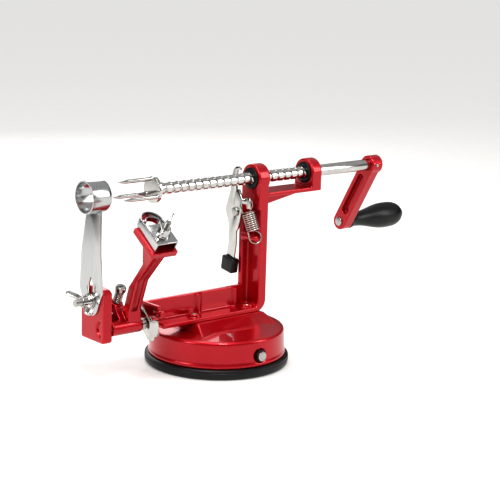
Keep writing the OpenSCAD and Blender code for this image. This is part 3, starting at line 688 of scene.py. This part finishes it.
# ---- Arm spring and catch
# A short torsion spring round the pin presses the arm to the fruit. The catch is a bent strap
# of nickelled steel with a square thumb tab that holds the arm back while fruit is loaded.
arm_wire, torsion_r, torsion_len, torsion_steps = 0.9, 4.2, 2.4, 48
torsion_x, arm_y, arm_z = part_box("arm_spring")[0].x / MM + arm_wire / 2, -7, 40
torsion = [(torsion_x + torsion_len * i / torsion_steps,
            arm_y + torsion_r * cos(radians(22.5 * i)),
            arm_z + torsion_r * sin(radians(22.5 * i))) for i in range(torsion_steps + 1)]
stand_in(wire("arm_spring_wound", torsion, arm_wire), "arm_spring", drawn)
stand_in(stamped("arm_catch", 0.3), "arm_catch", nickel)

# ---- Adjusting screw and its spring
# A slotted cheese-head screw goes through the lug to the frame. A small spring under its head
# keeps it from turning by itself.
adjust_at, adjust_tilt = Vector((-87, 5.6, 47.56)), radians(24.4)
adjust_up = Vector((0, -sin(adjust_tilt), cos(adjust_tilt)))
small_r, small_pitch = 2, 0.7
tip_len, stem_len, head_up = 1.2, 17.8, 18.6
stem = bolt_thread("stem", small_r, small_pitch, stem_len)
settle(stem, adjust_at + adjust_up * tip_len, adjust_up)
tip = turned("tip", [(0, 0), (1.2, 0), (1.75, 1.25), (0, 1.25)], adjust_at, adjust_up,
             width=0, sides=32)
head = turned("head", [(0, 0), (3.8, 0), (3.8, 2.7), (3.2, 3.4), (0, 3.4)], width=0.15, sides=48)
bpy.ops.object.select_all(action="DESELECT")
bpy.ops.mesh.primitive_cube_add(size=1, location=(0, 0, 3.2 * MM))
slot = bpy.context.object
slot.scale = (10 * MM, 1.2 * MM, 2.4 * MM)
shape(head, "BOOLEAN", operation="DIFFERENCE", object=slot, solver="EXACT")
bpy.data.objects.remove(slot)
ease(head, 0)
settle(head, adjust_at + adjust_up * head_up, adjust_up)
stand_in(join("adjusting_screw_slotted", [head, stem, tip]), "adjusting_screw", zinc)

along_x = Vector((1, 0, 0))
across = adjust_up.cross(along_x)
packed_low, packed_len, packed_r, packed_steps = 9.6, 8.4, 2.8, 96
packed = [adjust_at + adjust_up * (packed_low + packed_len * i / packed_steps)
          + packed_r * (cos(radians(22.5 * i)) * along_x + sin(radians(22.5 * i)) * across)
          for i in range(packed_steps + 1)]
stand_in(wire("adjusting_spring_wound", packed, 0.8), "adjusting_spring", drawn)

# ---- Peeling blade
# A strip of stainless steel bent to a U on the arm's pad, with a flat top that the screw goes
# through. The far bend is open, and a curved cutter inside it lifts the peel off the fruit.
pad_at, pad_tilt = Vector((-92, -57.9, 103.1)), radians(35)
pad_up = Vector((0, -sin(pad_tilt), cos(pad_tilt)))
blade_turn = Matrix.Translation(pad_at * MM) @ Matrix.Rotation(pad_tilt, 4, "X")
wall_h, strip_t, blade_len, blade_w = 7.2, 1.0, 29.3, 16.6
bend_r = blade_w / 2 - strip_t / 2
bend_y = blade_len - blade_w / 2


def strip(name, path, low, high, thick):
    """A bent strip that stands on edge: a run of edges drawn flat, raised and thickened."""
    piece = chain(name, path)
    pick(piece)
    bpy.ops.object.mode_set(mode="EDIT")
    bpy.ops.mesh.select_all(action="SELECT")
    bpy.ops.mesh.extrude_region_move(TRANSFORM_OT_translate={"value": (0, (high - low) * MM, 0)})
    bpy.ops.object.mode_set(mode="OBJECT")
    shape(piece, "SOLIDIFY", thickness=thick * MM, offset=0)
    move(piece, Matrix.Translation((0, 0, high * MM)) @ Matrix.Rotation(-pi / 2, 4, "X"))
    outward(piece)
    ease(piece, 0.2, segments=2)
    return piece


bend = [(bend_r * cos(radians(a)), bend_y + bend_r * sin(radians(a))) for a in range(0, 181, 9)]
rim = strip("rim", [(bend_r, 0.1), *bend, (-bend_r, 0.1)], 0, wall_h, strip_t)
cutter_r = bend_r - 2.6
cutter_low, cutter_t = 2.6, 0.7
cutter_bend = [(cutter_r * cos(radians(a)), bend_y + cutter_r * 0.8 * sin(radians(a)) - 0.5)
               for a in range(0, 181, 12)]
cutter = strip("cutter", cutter_bend, cutter_low, wall_h - 0.4, cutter_t)
plate_len = bend_y - 3.4
bpy.ops.object.select_all(action="DESELECT")
bpy.ops.mesh.primitive_cube_add(size=1, location=(0, plate_len / 2 * MM, (wall_h - 0.6) * MM))
plate = bpy.context.object
plate.scale = ((blade_w - 0.6) * MM, plate_len * MM, 1.2 * MM)
pick(plate)
bpy.ops.object.transform_apply()
ease(plate, 0.35)
blade = join("peeling_blade_bent", [rim, cutter, plate])
move(blade, blade_turn)
stand_in(blade, "peeling_blade", stainless)

# ---- Peeler screw and wing nut
# A round-head screw comes up through the pad and the blade, and a wing nut clamps them, so
# the blade comes off for cleaning without a tool.
screw_y, screw_len, below_pad, head_below = 8, 22.8, 4.3, 7
screw_at = pad_at + screw_y * (Matrix.Rotation(pad_tilt, 3, "X") @ Vector((0, 1, 0)))
stem = bolt_thread("stem", small_r, small_pitch, screw_len)
settle(stem, screw_at - pad_up * below_pad, pad_up)
head = turned("head", [(0, 0), (2.6, 0), (3.5, 0.9), (3.5, 2.8), (0, 2.8)],
              screw_at - pad_up * head_below, pad_up, width=0.3, sides=48)
stand_in(join("peeler_screw_rolled", [stem, head]), "peeler_screw", zinc)
nut_seat = Matrix.Translation(Vector((0, screw_y, wall_h + 0.05)) * MM)
peeler_span, peeler_nut_turn = 26, radians(40)
nut = wing_nut("peeler_wing_nut_cast", small_r + 0.05, peeler_span,
               blade_turn @ nut_seat @ Matrix.Rotation(peeler_nut_turn, 4, "Z"))
stand_in(nut, "peeler_wing_nut", nickel)
